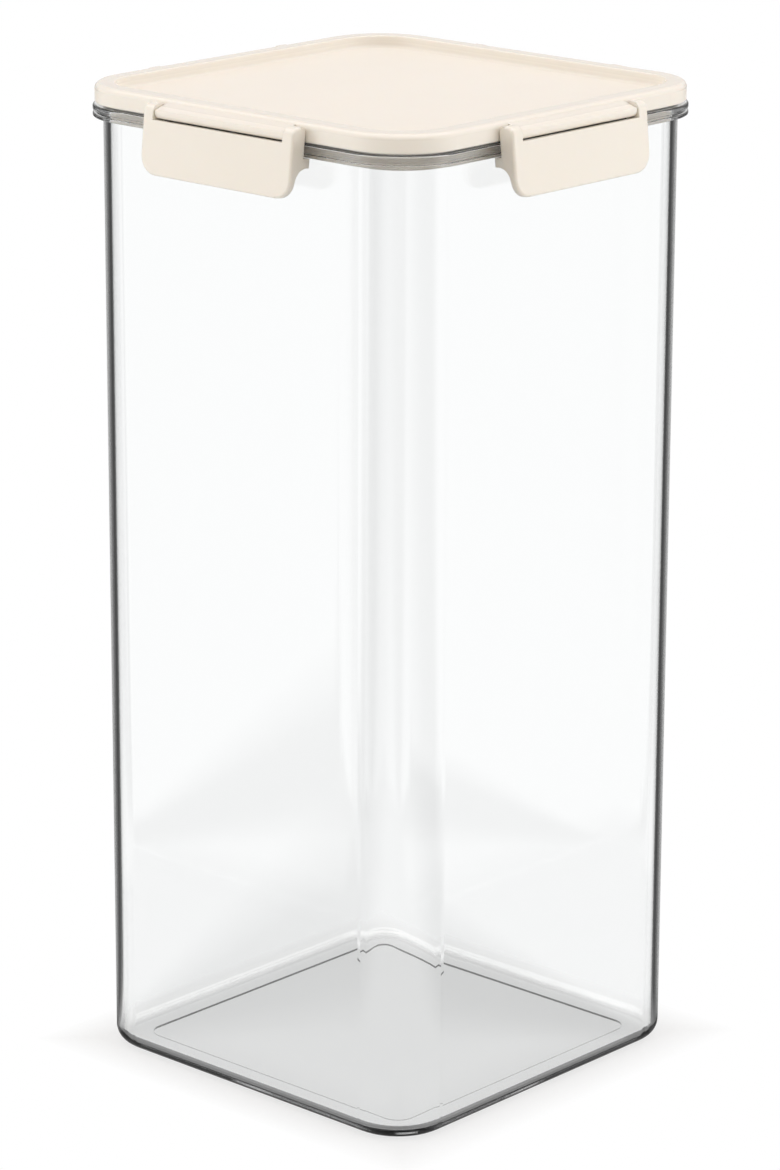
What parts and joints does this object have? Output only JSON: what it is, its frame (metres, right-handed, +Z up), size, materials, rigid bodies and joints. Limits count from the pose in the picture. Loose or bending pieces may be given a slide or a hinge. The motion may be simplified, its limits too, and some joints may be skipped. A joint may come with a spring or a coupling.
{
  "type": "cereal container",
  "caption": "Tall square clear plastic food container with a flat, recessed lid that lifts off a sealed rim and is locked by flip latches that hook under the rim.",
  "frame": {"origin": "centre of the base, on the surface that the container stands on", "axes": "+Z up through the lid; the four equal sides face -Y (front), +X (right), +Y (back) and -X (left), with one latch in the middle of each"},
  "size_m": [0.184, 0.184, 0.3696],
  "materials": {
    "clear_body": "clear, water-white, high gloss",
    "cream_lid": "warm cream, soft satin sheen",
    "cream_latch": "warm cream, soft satin sheen",
    "seal": "translucent off-white silicone, matte"
  },
  "bodies": {
    "container": {"container": "clear_body"},
    "lid": {"lid": "cream_lid", "seal_ring": "seal"},
    "latch_front": {"latch_front": "cream_latch"},
    "latch_right": {"latch_right": "cream_latch"},
    "latch_back": {"latch_back": "cream_latch"},
    "latch_left": {"latch_left": "cream_latch"}
  },
  "joints": [
    {"name": "lid_lift", "type": "slide", "parent": "container", "child": "lid", "axis": [0, 0, 1], "range_m": [0, 0.1]},
    {"name": "latch_front_flip", "type": "hinge", "parent": "lid", "child": "latch_front", "pos_m": [0, -0.08675, 0.3655], "axis": [-1, 0, 0], "range_deg": [0, 120]},
    {"name": "latch_right_flip", "type": "hinge", "parent": "lid", "child": "latch_right", "pos_m": [0.08675, 0, 0.3655], "axis": [0, -1, 0], "range_deg": [0, 120]},
    {"name": "latch_back_flip", "type": "hinge", "parent": "lid", "child": "latch_back", "pos_m": [0, 0.08675, 0.3655], "axis": [1, 0, 0], "range_deg": [0, 120]},
    {"name": "latch_left_flip", "type": "hinge", "parent": "lid", "child": "latch_left", "pos_m": [-0.08675, 0, 0.3655], "axis": [0, 1, 0], "range_deg": [0, 120]}
  ]
}
